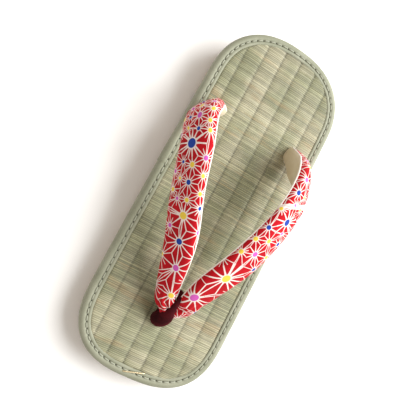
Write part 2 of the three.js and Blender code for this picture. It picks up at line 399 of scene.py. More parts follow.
def make_mat(material):
    reach = HALF_LENGTH - MAT["edge"]
    strands = int(2 * reach / MAT["strand"])
    thickness = rng.uniform(0.62, 1.38, strands)
    edges = -reach + 2 * reach * np.concatenate([[0], np.cumsum(thickness)]) / thickness.sum()
    phase = np.arange(STRAND_SAMPLES) / STRAND_SAMPLES
    rows = (edges[:-1, None] + np.diff(edges)[:, None] * phase).ravel()
    strand = np.repeat(np.arange(strands), STRAND_SAMPLES)
    height = np.tile(np.sin(np.pi * phase) ** 0.7, strands)
    height *= rng.uniform(0.6, 1.15, strands)[strand]
    across = np.linspace(-1, 1, 86)
    half = np.maximum(width_inside(rows, MAT["edge"]), 0.5)
    x = half[:, None] * across
    y = np.broadcast_to(rows[:, None], x.shape).copy()
    share = groove_share(x)
    column = np.floor((x - MAT["first_groove"]) / MAT["column"]).astype(int)
    column += COLUMNS["left_of_first"]
    strand = strand[:, None]
    wander = rng.normal(0, 0.16, (strands + 1, COLUMNS["count"]))
    y += wander[strand, column] * (1 - share**4)
    crown = COLUMN_HEIGHT * (1 - share**3)
    weave = np.where((strand + column) % 2 == 0, 0.16, -0.16) * share**6
    lifted = rng.normal(0, 0.05, (strands, COLUMNS["count"]))[strand, column] * (1 - share**2)
    rim = np.clip((half[:, None] - np.abs(x)) / RIM_ROUNDING, 0, 1)
    rim = np.minimum(rim, np.clip((reach - np.abs(y)) / RIM_ROUNDING, 0, 1))
    z = footbed_top(y) - 0.75 + (crown + weave + lifted) + STRAND_HEIGHT * height[:, None]
    z -= 0.9 * (1 - rim) ** 2
    top = np.stack([x, y, z], axis=-1).reshape(-1, 3)
    x_side, y_side = x[:, [0, -1]], y[:, [0, -1]]
    under = footbed_top(y_side) - 0.75 - MAT["thickness"]
    floor = np.stack([x_side, y_side, under], axis=-1).reshape(-1, 3)
    points, faces = np.vstack([top, floor]), mat_faces(*x.shape)
    mat = add_piece("rush_mat", points, faces, material, "rush_mat", "footbed")

    def put(name, values, below=0.0):
        whole = np.broadcast_to(values, x.shape).ravel()
        set_value(mat, name, np.concatenate([whole, np.full(len(floor), below)]))

    put("tone", rng.normal(0, 1, strands)[strand])
    bundle_tone = rng.normal(0, 1, (strands // BUNDLE + 2, COLUMNS["count"]))
    put("run", bundle_tone[strand // BUNDLE, column])
    put("groove", share, below=1.0)
    # Painted shade in the gap between mat and tape, darkest on the left and at the heel.
    shadow = np.where((x < 0) | (y < -95), 0.55, 0.25)
    put("gap", np.clip((0.82 - rim) / 0.3, 0, 1) * shadow)
    # Each strand's height, which the material turns into painted shade in the dips between strands.
    put("crest", height[:, None])


def rush_material():
    paint = Paint("rush")
    fibre = paint.noise(900, 3, stretch=(0.12, 1, 1))
    patch = paint.noise(42, 3, stretch=(1, 0.8, 1))
    tan = paint.noise(75, 2, stretch=(0.5, 1.6, 1))
    green, straw, brown = srgb(148, 148, 117), srgb(174, 169, 141), srgb(152, 131, 97)
    dry = paint.math("MULTIPLY_ADD", "run", 0.05, patch)
    colour = paint.mix(paint.ease(dry, 0.38, 0.66), green, straw)
    stray = paint.math("MULTIPLY_ADD", "tone", 0.07, tan)
    colour = paint.mix(paint.ease(stray, 0.58, 0.76, 0, 0.5), colour, brown)
    strand = paint.ease("tone", -2.2, 2.2, 0.74, 1.14)
    streak = paint.ease(fibre, 0.3, 0.72, 0.9, 1.06)
    # Painted shade in the dips between strands: each strand is darker where it lies low.
    valley_shade = paint.ease("crest", 0, 0.75, 0.55, 1)
    # Painted shade along the grooves between the mat's columns.
    groove = paint.ease("groove", 0.8, 1, 1, 0.62)
    # Painted shade where the mat's rim dips under the tape's lip.
    gap = paint.math("SUBTRACT", 1.0, "gap")
    colour = paint.shade(colour, strand, streak, valley_shade, groove, gap)
    bump = paint.bump(fibre, 0.12, 0.5)
    return paint.finish(colour, 0.52, Normal=bump, Specular_IOR_Level=0.35)


# ---- edge tape and its stitches

# The tape's section, from its inner lip over the top and round the edge to its underside:
# inset from the outline, and drop from the footbed's top.
TAPE_SECTION = [
    (7.3, -1.5), (7.5, -0.9), (7.45, -0.4), (7.1, -0.02), (6.5, 0.14), (5.9, 0.12), (5.4, -0.06),
    (5.1, -0.26), (4.8, -0.34), (4.5, -0.26), (4.1, -0.02), (3.5, 0.16), (2.8, 0.12), (2.1, -0.1),
    (1.4, -0.5), (0.8, -1.1), (0.35, -1.9), (0.1, -2.9), (0, -4.2), (0.05, -5.6), (0.25, -6.8),
    (0.7, -7.7), (1.4, -8.3), (2.6, -8.5), (7.3, -8.5),
]
TAPE_LAP = dict(start=(47.6, -10.0), length=24.0, fade=14.0, rise=0.45)
# A needle hole's half length as a share of a stitch, its half width and depth, and how wide
# and deep the stitches draw the tape down.
NEEDLE_HOLE = dict(share=0.11, reach=0.42, depth=0.55)
PUCKER = dict(reach=1.5, depth=0.1)


def perimeter(loop):
    return np.linalg.norm(np.roll(loop, -1, axis=0) - loop, axis=1).sum()


def stitch_count(loop):
    return round(perimeter(loop) / STITCH["pitch"])


def lap_share(count):
    """1 where the tape's end lies over its start, 0 elsewhere."""
    loop = inset_loop(0.0, count)
    start = np.argmin(np.linalg.norm(loop - TAPE_LAP["start"], axis=1))
    run = ((start - np.arange(count)) % count) * perimeter(loop) / count
    return np.clip((TAPE_LAP["length"] - run) / TAPE_LAP["fade"], 0, 1)


def make_binding(material):
    count = 1000
    stitches = stitch_count(inset_loop(STITCH["inset"], count))
    round_edge = np.arange(count) / count
    phase = (round_edge * stitches) % 1.0
    hole = bell(phase - 0.5, NEEDLE_HOLE["share"])
    pucker = 0.5 + 0.5 * np.cos(math.tau * phase)
    lap = lap_share(count)
    # The edge was folded over by hand, and wavers a little.
    wave = sum(
        rng.uniform(0.02, 0.05) * np.sin(math.tau * k * round_edge + rng.uniform(0, 6))
        for k in (9, 17, 31, 47)
    )
    rings, holes = [], []
    for inset, drop in TAPE_SECTION:
        loop = inset_loop(inset, count)
        on_top = drop > -1
        near = bell(inset - STITCH["inset"], NEEDLE_HOLE["reach"]) * on_top
        beside = bell(inset - STITCH["inset"], PUCKER["reach"]) * on_top
        z = footbed_top(loop[:, 1]) + drop - NEEDLE_HOLE["depth"] * near * hole
        z -= PUCKER["depth"] * beside * (1 - pucker)
        z = z + wave * on_top + TAPE_LAP["rise"] * lap * (drop > -7)
        out = loop * (1 + TAPE_LAP["rise"] * lap * (inset < 1) / 50)[:, None]
        rings.append(np.column_stack([out, z]))
        holes.append(near * hole)
    around = len(rings)
    points, faces = np.stack(rings, axis=1), ring_faces(count, around, closed=True)
    tape = add_piece("edge_tape", points, faces, material, "edge_tape", "binding")
    # Where the needle holes are; the material paints shade into them.
    set_value(tape, "hole", np.stack(holes, axis=1))
    # How far each ring lies below the footbed's top; the material turns it into painted shade
    # towards the underside.
    drops = np.array([drop for _, drop in TAPE_SECTION])
    set_value(tape, "under", np.broadcast_to(-drops, (count, around)))


def make_stitches(material):
    """Thread between the needle holes, one short sagging length a stitch."""
    count = 4700
    loop = inset_loop(STITCH["inset"], count)
    stitches = stitch_count(loop)
    run = unit(np.roll(loop, -1, axis=0) - loop)
    sections, around, radius, half_length = 9, 8, 0.34, 0.43
    faces = capped(sections, around)

    def thread(stitch):
        points = []
        for step in np.linspace(-1, 1, sections):
            at = int((stitch + 1 + step * half_length) * count / stitches) % count
            place, way = loop[at], run[at]
            rise = -0.2 + 0.42 * (1 - step**4) - 0.55 * max(0, abs(step) - 0.8) / 0.2
            z, slim = footbed_top(place[1]) + rise, 1 - 0.45 * step**4
            side = np.array([-way[1], way[0]])
            for turn in full_turn(around):
                flat = place + side * math.cos(turn) * radius * 1.25 * slim
                points.append((*flat, z + math.sin(turn) * radius * slim))
        return points

    threads = merged((thread(stitch), faces) for stitch in range(stitches))
    add_piece("stitches", *threads, material, "stitch_thread")


def make_staple(material):
    """A short wire staple through the tape at the toe."""
    start, end = np.array([-8.2, 112.6]), np.array([5.4, 116.4])
    radius, bend, around = 0.42, 1.1, 10
    way = (end - start) / 14
    rounds = [(bend * (1 - math.cos(turn)), -0.4 + bend * math.sin(turn))
              for turn in np.linspace(0, math.pi / 2, 5)[1:]]
    route = [(start, -1.6), (start, -0.4)]
    route += [(start + way * over, rise) for over, rise in rounds]
    route += [(start + (end - start) * t, 0.72 + 0.1 * math.sin(t * math.pi))
              for t in np.linspace(0.12, 0.88, 9)]
    route += [(end - way * over, rise) for over, rise in rounds[::-1]]
    route += [(end, -0.4), (end, -1.6)]
    path = np.array([(*place, footbed_top(place[1]) + rise) for place, rise in route])
    faces = capped(len(path), around)
    add_piece("staple", tube(path, radius, around), faces, material, "staple_wire")


def tube(path, radius, around):
    """Rings of one radius round a path."""
    way = unit(np.gradient(path, axis=0))
    side = unit(np.cross(way, (0.13, 0.29, 0.95)))
    up = np.cross(side, way)
    turn = full_turn(around)
    rings = round_line(path, side, up, radius * np.cos(turn), radius * np.sin(turn))
    return rings.reshape(-1, 3)


def tape_material():
    paint = Paint("edge_tape")
    weave = paint.noise(2600, 2)
    colour = paint.mottle(60, 4, srgb(140, 142, 121), srgb(154, 155, 135))
    # Painted shade: the tape is darker round its outer edge towards the underside.
    low = paint.ease("under", 4.5, 8.4, 1, 0.72)
    # Painted shade in the needle holes.
    dark = paint.ease("hole", 0.14, 0.6, 1, 0.1)
    grain = paint.ease(weave, 0.3, 0.7, 0.88, 1.08)
    colour = paint.shade(colour, low, dark, grain)
    bump = paint.bump(weave, 0.05, 0.35)
    return paint.finish(colour, 0.62, Normal=bump, Specular_IOR_Level=0.35)


def thread_material():
    paint = Paint("thread")
    fine = paint.noise(3000, 2)
    colour = paint.mix(fine, srgb(174, 176, 158), srgb(148, 150, 131))
    return paint.finish(colour, 0.8, Normal=paint.bump(fine, 0.08, 0.6))


def staple_material():
    paint = Paint("staple")
    fine = paint.noise(700, 2)
    colour = paint.mix(fine, srgb(226, 205, 160), srgb(240, 226, 190))
    return paint.finish(colour, paint.ease(fine, 0.3, 0.7, 0.28, 0.42), Metallic=0.85)


# ---- foam midsole

def plate_rings(profile, count, scales=(0.92, 0.75, 0.45, 0.12)):
    """Level rings from the middle of the underside, out to the edge and back over the top."""
    def ring(inset, level, scale=1.0):
        loop = inset_loop(inset, count) * scale
        return np.column_stack([loop, level(loop[:, 1])])

    rings = [ring(*profile[0], scale) for scale in scales[::-1]]
    rings += [ring(*row) for row in profile]
    rings += [ring(*profile[-1], scale) for scale in scales]
    return rings


def make_midsole(material):
    count = 420
    low = lambda y: OUTSOLE["height"] + 0.1 + spring_lift(y)
    high = lambda y: footbed_top(y) - TAPE["height"] - 0.1
    between = lambda t: lambda y: low(y) * (1 - t) + high(y) * t
    side = [(2.9, 0.0), (2.25, 0.02), (2.05, 0.06), (2.0, 0.2), (1.75, 0.45), (1.4, 0.7),
            (1.1, 0.92), (1.15, 0.975), (1.6, 1.0)]
    rings = plate_rings([(inset, between(t)) for inset, t in side], count)
    faces = capped(len(rings), count)
    add_piece("midsole_foam", rings, faces, material, "midsole_foam", "midsole")


def foam_material():
    paint = Paint("foam")
    pores = paint.noise(2200, 3)
    scuff = paint.noise(160, 4, stretch=(0.4, 0.4, 2.5))
    colour = paint.mottle(35, 3, srgb(226, 217, 208), srgb(218, 208, 198), 0.35, 0.65)
    colour = paint.mix(paint.ease(scuff, 0.62, 0.78, 0, 0.35), colour, srgb(196, 182, 166))
    bump = paint.bump(pores, 0.08, 0.5)
    return paint.finish(colour, 0.72, Normal=bump, Specular_IOR_Level=0.3)


# ---- rubber outsole

def zigzag(x):
    place = np.asarray(x) / TREAD["half_period"]
    return TREAD["rise"] * (0.5 - np.abs((place % 2) - 1))


def tread_bar(middle, width, samples):
    """One zigzag rib as a closed bar right across the sole, its walls leaning in a little."""
    lean = 0.22
    low = spring_lift(middle)
    high = low + TREAD["depth"] + TREAD["rooted"]
    half = width / 2
    ring = [(-half + lean + 0.1, low), (half - lean - 0.1, low), (half - lean, low + 0.2),
            (half, high), (-half, high), (-half + lean, low + 0.2)]
    points = []
    for x in samples:
        shift = middle + zigzag(x)
        points += [(x, shift + dy, z) for dy, z in ring]
    return points, capped(len(samples), len(ring))


def make_outsole(material):
    """A plate with zigzag ribs under the forefoot and heel, cut to the sole's outline."""
    count = 360
    roof = lambda y: OUTSOLE["height"] + spring_lift(y)
    floor = lambda y: TREAD["depth"] + spring_lift(y)
    inset = OUTSOLE["inset"]
    profile = [(inset + 0.2, floor), (inset, lambda y: floor(y) + 0.3),
               (inset, lambda y: roof(y) - 0.3), (inset + 0.3, roof)]
    plate = plate_rings(profile, count)
    plate_faces = capped(len(plate), count)
    corners = np.arange(-54, 54.1, TREAD["half_period"])
    samples = np.unique(np.round(np.concatenate([corners, corners - 0.7, corners + 0.7]), 3))
    width = TREAD["pitch"] - TREAD["groove"]
    front_ribs = np.arange(SHANK["front"] + width / 2, HALF_LENGTH + 4, TREAD["pitch"])
    back_ribs = np.arange(SHANK["back"] - width / 2, -HALF_LENGTH - 4, -TREAD["pitch"])
    middles = np.concatenate([front_ribs, back_ribs])
    ribs = plain_object("ribs", *merged(tread_bar(middle, width, samples) for middle in middles))
    rim = inset_loop(RIB_INSET, count)
    prism = [np.column_stack([rim, np.full(count, z)]) for z in (-2.0, 6.0)]
    cutter = plain_object("cutter", prism, capped(2, count))
    keep_inside(ribs, cutter)
    sole = add_piece("outsole_rubber", plate, plate_faces, material, "outsole_rubber", "outsole")
    join_into(sole, [ribs, shank_block()])


def shank_block():
    """The smooth band between the two tread fields, with the cross groove left out of it."""
    high, low = TREAD["depth"] + TREAD["rooted"], SHANK["depth"]

    def block(behind, ahead):
        rows = np.linspace(behind, ahead, 8)
        rings = [[(-half, y, low), (half, y, low), (half, y, high), (-half, y, high)]
                 for y, half in zip(rows, width_inside(rows, RIB_INSET))]
        return np.vstack(rings), capped(len(rows), 4)

    return plain_object("shank", *merged([
        block(BREAST_GROOVE["front"], SHANK["front"] + SHANK["overlap"]),
        block(SHANK["back"] - SHANK["overlap"], BREAST_GROOVE["back"]),
    ]))


def keep_inside(thing, cutter):
    step = thing.modifiers.new("cut", "BOOLEAN")
    step.operation = "INTERSECT"
    step.object = cutter
    step.solver = "EXACT"
    apply_modifiers(thing)
    bpy.data.objects.remove(cutter)


def apply_modifiers(thing):
    graph = bpy.context.evaluated_depsgraph_get()
    finished = bpy.data.meshes.new_from_object(thing.evaluated_get(graph))
    thing.modifiers.clear()
    thing.data = finished


def join_into(piece, others):
    work = bmesh.new()
    work.from_mesh(piece.data)
    for other in others:
        work.from_mesh(other.data)
        bpy.data.objects.remove(other)
    work.to_mesh(piece.data)
    work.free()
    for face in piece.data.polygons:
        face.use_smooth = False
        face.material_index = 0


def rubber_material():
    paint = Paint("rubber")
    fine = paint.noise(1600, 3)
    colour = paint.mottle(30, 4, srgb(214, 182, 134), srgb(202, 168, 116))
    # Painted shade: the rubber is darker the higher it lies above the floor, in the grooves between
    # the ribs and up the sides.
    height = paint.add("ShaderNodeSeparateXYZ", {"Vector": paint.place()}, output=2)
    deep = paint.ease(height, 0.2 * MM, 1.6 * MM, 1, 0.5)
    grain = paint.ease(fine, 0.3, 0.7, 0.94, 1.04)
    colour = paint.shade(colour, deep, grain)
    bump = paint.bump(fine, 0.06, 0.5)
    return paint.finish(colour, 0.6, Normal=bump, Specular_IOR_Level=0.4)


# ---- straps

def way_along(places, t):
    """The curve's unit direction at each t."""
    return unit(curve_through(places, np.minimum(t + 1e-4, 1))
                - curve_through(places, np.maximum(t - 1e-4, 0)))


def curve_through(points, t):
    """A centripetal Catmull-Rom curve through points; t runs from 0 to 1 along all of them."""
    points = np.asarray(points, float)
    place = np.asarray(t) * (len(points) - 1)
    low = np.minimum(place.astype(int), len(points) - 2)
    w = (place - low)[:, None]
    padded = np.vstack([2 * points[0] - points[1], points, 2 * points[-1] - points[-2]])
    a, b, c, d = (padded[low + k] for k in range(4))
    gap = lambda p, q: np.maximum(np.sum((p - q) ** 2, axis=1) ** 0.25, 1e-4)[:, None]
    first, middle, last = gap(a, b), gap(b, c), gap(c, d)
    leave = middle * ((b - a) / first - (c - a) / (first + middle) + (c - b) / middle)
    reach = middle * ((c - b) / middle - (d - b) / (middle + last) + (d - c) / last)
    square, cube = -3 * b + 3 * c - 2 * leave - reach, 2 * b - 2 * c + leave + reach
    return b + leave * w + square * w**2 + cube * w**3


def ease_through(values, t):
    """A column's values eased between its rows."""
    values = np.asarray(values, float)
    place = np.asarray(t) * (len(values) - 1)
    low = np.minimum(place.astype(int), len(values) - 2)
    w = place - low
    slope = np.empty_like(values)
    slope[1:-1] = (values[2:] - values[:-2]) / 2
    slope[0], slope[-1] = (values[1] - values[0]) / 2, (values[-1] - values[-2]) / 2
    a, b, p, q = values[low], values[low + 1], slope[low], slope[low + 1]
    return (a * (2 * w**3 - 3 * w**2 + 1) + p * (w**3 - 2 * w**2 + w)
            + b * (3 * w**2 - 2 * w**3) + q * (w**3 - w**2))


def columns(names, rows):
    return dict(zip(names, np.array(rows, float).T))


class Strap:
    """A strap's middle line and, at each station, its two directions, half width and half depth."""

    def __init__(self, rows, sign, stations):
        table = columns(STRAP_COLUMNS, rows)
        height = footbed_top(table["y"]) + table["rise"]
        places = np.column_stack([sign * table["out"], table["y"], height])
        fine = np.linspace(0, 1, 600)
        line = curve_through(places, fine)
        run = np.concatenate([[0], np.cumsum(np.linalg.norm(np.diff(line, axis=0), axis=1))])
        self.length = run[-1]
        self.run = np.linspace(0, self.length, stations)
        t = np.interp(self.run, run, fine)
        self.middle = curve_through(places, t)
        way = way_along(places, t)
        level = unit(np.column_stack([-way[:, 1], way[:, 0], np.zeros(stations)]) * sign)
        raised = np.cross(way, level) * sign
        lean = np.radians(ease_through(table["lean"], t))[:, None]
        self.across = np.cos(lean) * level - np.sin(lean) * raised
        self.facing = np.sin(lean) * level + np.cos(lean) * raised
        self.half = ease_through(table["half_width"], t)
        self.deep = ease_through(table["half_depth"], t)

    def rings(self, side, depth, keep=slice(None)):
        """Points at each kept station, at side across from the middle line and depth out."""
        return round_line(self.middle[keep], self.across[keep], self.facing[keep], side, depth)

    def section(self, turn, keep=slice(None)):
        """Side and depth of the strap's skin at each kept station, for angles round it."""
        side, depth = section_shape(turn)
        return self.half[keep, None] * side, self.deep[keep, None] * depth


def section_shape(turn):
    """The strap's section for angles round it, its half width and half depth taken as 1."""
    side = np.sign(np.cos(turn)) * np.abs(np.cos(turn)) ** STRAP_FULLNESS
    depth = np.sign(np.sin(turn)) * np.abs(np.sin(turn)) ** STRAP_FULLNESS
    return side, np.where(depth > 0, STRAP_CROWN, STRAP_BACK) * depth


# The print, charted for each strap: a flower's place along and across it, its size,
# and the radius and colour of its eye.
FLOWER_COLUMNS = ("run", "across", "size", "eye", "colour")
# The eyes' colours: blue, pink, yellow and white.
B, P, Y, W = 0, 1, 2, 3
EYE_COLOURS = [srgb(34, 66, 158), srgb(204, 92, 182), srgb(234, 202, 76), srgb(240, 230, 226)]
RIGHT_FLOWERS = [
    (3, -3, 7, 0.4, W), (14.5, -4.5, 10, 1.9, Y), (17, 8, 8, 1.3, B), (23, 13, 8, 1.3, Y),
    (24, -13, 8, 1.3, B), (32.5, -3.7, 11, 2.1, P), (36, 9, 9, 1.4, Y), (40, -14, 9, 1.4, Y),
    (48.7, -2, 11, 2.1, B), (50, 13, 8, 1.3, Y), (56, -13, 9, 1.4, P), (56.2, 6, 8, 1.5, P),
    (64.5, -2.4, 12, 2.3, Y), (66, 14, 8, 1.3, Y), (70, -12, 8, 1.3, B), (73.5, -3.5, 6, 1.4, Y),
    (73, 3, 6, 1.1, P), (77, 7.5, 7, 1.4, Y), (78, -11, 6.5, 1.3, Y), (83, -3, 8, 1.6, B),
    (84, 3.5, 6, 1.0, Y), (88, -11, 6.5, 1.3, Y), (87, 8.5, 7, 1.3, P), (92.5, -3.2, 8, 1.6, Y),
    (93, 3.5, 6, 1.0, B), (97, -10.5, 6.5, 1.4, P), (97, 12, 7, 1.2, Y), (103.4, 0, 14, 2.9, B),
    (110, -10.5, 6.5, 1.3, Y), (110, 10, 7, 1.2, P), (111, -3.5, 6.5, 1.2, B),
    (115, -10, 6.5, 1.3, Y), (112.5, 4, 6, 1.1, Y), (118.5, -3, 8, 1.7, P), (120, 9, 7, 1.4, Y),
    (122, -10.5, 7, 1.4, Y), (119, 3.5, 6, 1.0, B), (125, -2, 6.5, 1.2, Y), (125, 4, 6, 1.0, P),
    (129, -8, 6.5, 1.3, P), (131, 0, 6.5, 1.1, B), (132, 8, 6.5, 1.1, Y), (136, -5, 6.5, 1.1, Y),
    (139, 3, 6.5, 1.1, P), (143, -3, 6.5, 1.1, B), (147, 4, 6.5, 1.1, Y), (149, -10, 6.5, 1.1, P),
    (150, 11, 6.5, 1.1, B), (153, -2, 6.5, 1.1, Y), (156, 6, 6.5, 1.1, P), (158, -8, 6.5, 1.1, B),
    (161, 1, 6.5, 1.1, Y),
]
LEFT_FLOWERS = [
    (4, 4, 8, 0.4, W), (8, -8, 7, 0.8, W), (13, 6, 7, 1.2, B), (16, -13, 7, 1.2, B),
    (23, -4.8, 14, 2.8, P), (24, 12, 8, 1.3, Y), (33, -16, 8, 1.3, Y), (37, 13, 9, 1.4, B),
    (44, -2, 16, 2.8, Y), (50, -15, 8, 1.3, B), (50, 12, 8, 1.4, P), (58.5, 6.5, 7, 1.4, B),
    (60.5, -10.5, 7, 1.5, Y), (65, -3, 9, 1.7, P), (63, 13, 8, 1.3, Y), (68.5, 6, 7, 1.4, Y),
    (71, -10.5, 6.5, 1.5, Y), (75.5, -3, 7, 1.5, Y), (76, 13, 7, 1.2, P), (78.5, 5.5, 7, 1.4, B),
    (80.5, -10, 6.5, 1.5, B), (84, 1, 6, 1.0, P), (90, -2.6, 12, 2.2, B), (88, 11, 7.5, 1.2, Y),
    (96, 8, 7, 1.2, P), (93, -12, 7, 1.2, Y), (100, -6, 6, 1.1, P), (101, 1, 6, 1.1, Y),
    (106.5, -9, 7.5, 1.6, B), (108, -1.5, 6.5, 1.1, Y), (109, 6, 6.5, 1.2, B),
    (115.5, -8, 7, 1.5, P), (115, 1, 6.5, 1.1, B), (121, -3, 6, 1.1, P), (126, -7.5, 7, 1.5, Y),
    (127, 2, 6.5, 1.1, Y), (132, -10, 6, 1.2, P), (133, -3, 6.5, 1.1, B), (139, -8, 6.5, 1.4, Y),
    (140, 0, 6.5, 1.1, P), (145, -6, 6.5, 1.4, Y), (147, 3, 6.5, 1.1, B), (152, -3, 6.5, 1.2, P),
    (137, 9, 6.5, 1.1, Y), (150, 10, 6.5, 1.1, P), (154, 5, 6, 1.1, Y), (157, -9, 6.5, 1.1, B),
]

# Soft folds in a strap's cloth: place along and across it, length and width of the fold,
# its turn from the strap's run in degrees, and how deep it goes.
CREASE_COLUMNS = ("run", "across", "length", "width", "turn", "depth")
RIGHT_CREASES = [
    (6, -2, 12, 1.2, 6, 0.8), (8, 3, 14, 1.3, -8, 0.7), (14, -8, 16, 1.4, 14, 0.5),
    (60, 10, 12, 1.6, 60, 0.35), (112, 6, 14, 1.6, 68, 0.6), (118, -3, 13, 1.5, 80, 0.55),
    (124, 4, 11, 1.4, 100, 0.6), (130, -1, 10, 1.3, 84, 0.6), (138, 1, 9, 1.2, 20, 0.6),
    (146, -1, 12, 1.1, 4, 0.7), (90, -11, 12, 1.5, 50, 0.3), (35, 9, 16, 1.8, -24, 0.3),
]
LEFT_CREASES = [
    (6, -2, 12, 1.2, 6, 0.8), (9, 3, 14, 1.3, -10, 0.7), (15, 8, 15, 1.4, -16, 0.5),
    (97, 0, 22, 1.3, 86, 0.9), (100.5, 2, 18, 1.5, 94, 0.5), (108, -5, 12, 1.4, 70, 0.4),
    (116, 5, 13, 1.5, 104, 0.6), (123, -2, 12, 1.4, 84, 0.6), (130, 3, 10, 1.3, 96, 0.6),
    (138, 0, 9, 1.2, 14, 0.6), (146, 0, 12, 1.1, -4, 0.7), (55, -9, 14, 1.8, 24, 0.3),
]

# Where the cloth is pieced together with a white-edged lap: its place along the strap, and how
# much further along it lies for each mm across. The right strap's is down in its hole.
LEFT_SEAM = dict(run=102.5, slant=0.6)
RIGHT_SEAM = dict(run=163.0, slant=0.0)


def crease_depth(rows, run, across):
    depth = np.zeros_like(run)
    for row in rows:
        fold = dict(zip(CREASE_COLUMNS, row))
        turn = math.radians(fold["turn"])
        x, y = run - fold["run"], across - fold["across"]
        length_way = (x * math.cos(turn) + y * math.sin(turn)) / (fold["length"] / 2)
        width_way = (y * math.cos(turn) - x * math.sin(turn)) / fold["width"]
        trough = bell(width_way) - 0.45 * bell(np.abs(width_way) - 1.7)
        depth += fold["depth"] * trough * np.exp(-(length_way**2) * 1.5)
    return depth


def past_seam(seam, run, across):
    """How far along the strap a place lies from its seam, square to it."""
    return (run - seam["run"] - seam["slant"] * across) / math.hypot(1, seam["slant"])


def flower_table(flowers):
    """The charted flowers, and plain ones carrying the print on round the strap's hidden edges."""
    rows = list(flowers)
    for side in (-1, 1):
        for place in range(14):
            rows.append((2 + 12.5 * place + 4 * side, 21.0 * side, 9, 1.2, (B, P, Y)[place % 3]))
    return columns(FLOWER_COLUMNS, rows)


# The widest a petal may be, in radians, before a ray parts it.
WIDEST_RAY_GAP = 0.8


def flower_rays(cells, weight):
    """Each flower's ray angles: to its neighbours' middles and to the corners between them."""
    rays = [[] for _ in cells]
    joined = set()
    near = [np.argsort(np.linalg.norm(cells - cell, axis=1))[1:15] for cell in cells]
    for i, cell in enumerate(cells):
        for j in near[i]:
            for k in near[i]:
                if not i < j < k:
                    continue
                sides = 2 * np.array([cells[j] - cell, cells[k] - cell])
                if abs(np.linalg.det(sides)) < 1e-6:
                    continue
                own = cell @ cell - weight[i]
                level = [cells[n] @ cells[n] - weight[n] - own for n in (j, k)]
                corner = np.linalg.solve(sides, level)
                power = np.sum((cells - corner) ** 2, axis=1) - weight
                if power.min() < power[i] - 1e-6:
                    continue
                for flower in (i, j, k):
                    rays[flower].append(math.atan2(*(corner - cells[flower])[::-1]))
                joined |= {(i, j), (i, k), (j, k)}
    for i, j in sorted(joined):
        gap = cells[j] - cells[i]
        share = 0.5 + (weight[i] - weight[j]) / (2 * gap @ gap)
        power = np.sum((cells - cells[i] - gap * share) ** 2, axis=1) - weight
        if power.min() > power[i] - 1e-6:
            rays[i].append(math.atan2(gap[1], gap[0]))
            rays[j].append(math.atan2(-gap[1], -gap[0]))
    for own in rays:
        own.sort()
        for ray, after in list(zip(own, own[1:] + [own[0] + math.tau] if own else [])):
            if after - ray > WIDEST_RAY_GAP:
                own.append((ray + after) / 2)
    return rays


def make_strap(name, rows, sign, flowers, creases, seam, material):
    stations, around = 520, 108
    strap = Strap(rows, sign, stations)
    turn = math.pi / 2 - (np.arange(around) / around - 0.5) * math.tau
    depth_unit = section_shape(turn)[1]
    side, depth = strap.section(turn)
    step = np.hypot(np.diff(side, axis=1), np.diff(depth, axis=1))
    arc = np.concatenate([np.zeros((stations, 1)), np.cumsum(step, axis=1)], axis=1)
    arc -= arc[:, around // 2][:, None]
    run = np.broadcast_to(strap.run[:, None], arc.shape)
    fold = crease_depth(creases, run, arc)
    puff = 0.25 * np.sin(run / 9.0 + 0.8) * np.cos(arc / 9.0) * (depth_unit > 0)
    ends = np.clip(1 - np.minimum(run / 22, (strap.length - run) / 34), 0, 1)
    gathers = 0.32 * ends * np.cos(arc * 1.9) * (depth_unit > -0.4)
    past = past_seam(seam, run, arc)
    lap = 0.7 * np.clip(0.5 - past / 0.9, 0, 1) * np.clip(1 + past / 18, 0, 1)
    push = puff - fold * (depth_unit > -0.3) + gathers + lap * (depth_unit > -0.2)
    grown = 1 + push / np.maximum(np.hypot(side, depth), 2.5)
    side, depth = side * grown, depth * grown
    points, faces = strap.rings(side, depth), capped(stations, around)
    piece = add_piece(name, points, faces, material, "strap_cotton")
    colour_faces(piece, flowers, seam, run, arc)
    return strap, piece


def colour_faces(piece, flowers, seam, run, arc):
    """Gives each face's corners their place in the flower that the face's middle lies in."""
    table = flower_table(flowers)
    cells = np.column_stack([table["run"], table["across"]])
    weight = 0.3 * table["size"] ** 2
    mesh = piece.data
    vertex = np.empty(len(mesh.loops), dtype=np.int32)
    mesh.loops.foreach_get("vertex_index", vertex)
    sizes = np.empty(len(mesh.polygons), dtype=np.int32)
    mesh.polygons.foreach_get("loop_total", sizes)
    starts = np.concatenate([[0], np.cumsum(sizes)[:-1]])
    corner_run, corner_arc = run.ravel()[vertex], arc.ravel()[vertex]
    middle_run = np.add.reduceat(corner_run, starts) / sizes
    middle_arc = np.add.reduceat(corner_arc, starts) / sizes
    power = ((middle_run[:, None] - cells[:, 0]) ** 2
             + (middle_arc[:, None] - cells[:, 1]) ** 2 - weight)
    own = np.argmin(power, axis=1)
    heading = np.arctan2(middle_arc - cells[own, 1], middle_run - cells[own, 0])
    nearest = np.zeros(len(own))
    for flower, angles in enumerate(flower_rays(cells, weight)):
        mine = np.flatnonzero(own == flower)
        if len(angles) and len(mine):
            turn = heading[mine][:, None] - np.array(angles)
            turn = np.abs((turn + math.pi) % math.tau - math.pi)
            nearest[mine] = np.array(angles)[np.argmin(turn, axis=1)]
    flower = np.repeat(own, sizes)
    ray = np.repeat(nearest, sizes)
    petal_run, petal_across = corner_run - cells[flower, 0], corner_arc - cells[flower, 1]
    values = dict(
        petal_run=petal_run,
        petal_across=petal_across,
        off_ray=petal_run * np.sin(ray) - petal_across * np.cos(ray),
        size=table["size"][flower],
        eye=table["eye"][flower],
        hue=table["colour"][flower],
        off_seam=past_seam(seam, corner_run, corner_arc),
    )
    for name, numbers in values.items():
        set_value(piece, name, numbers, "CORNER")


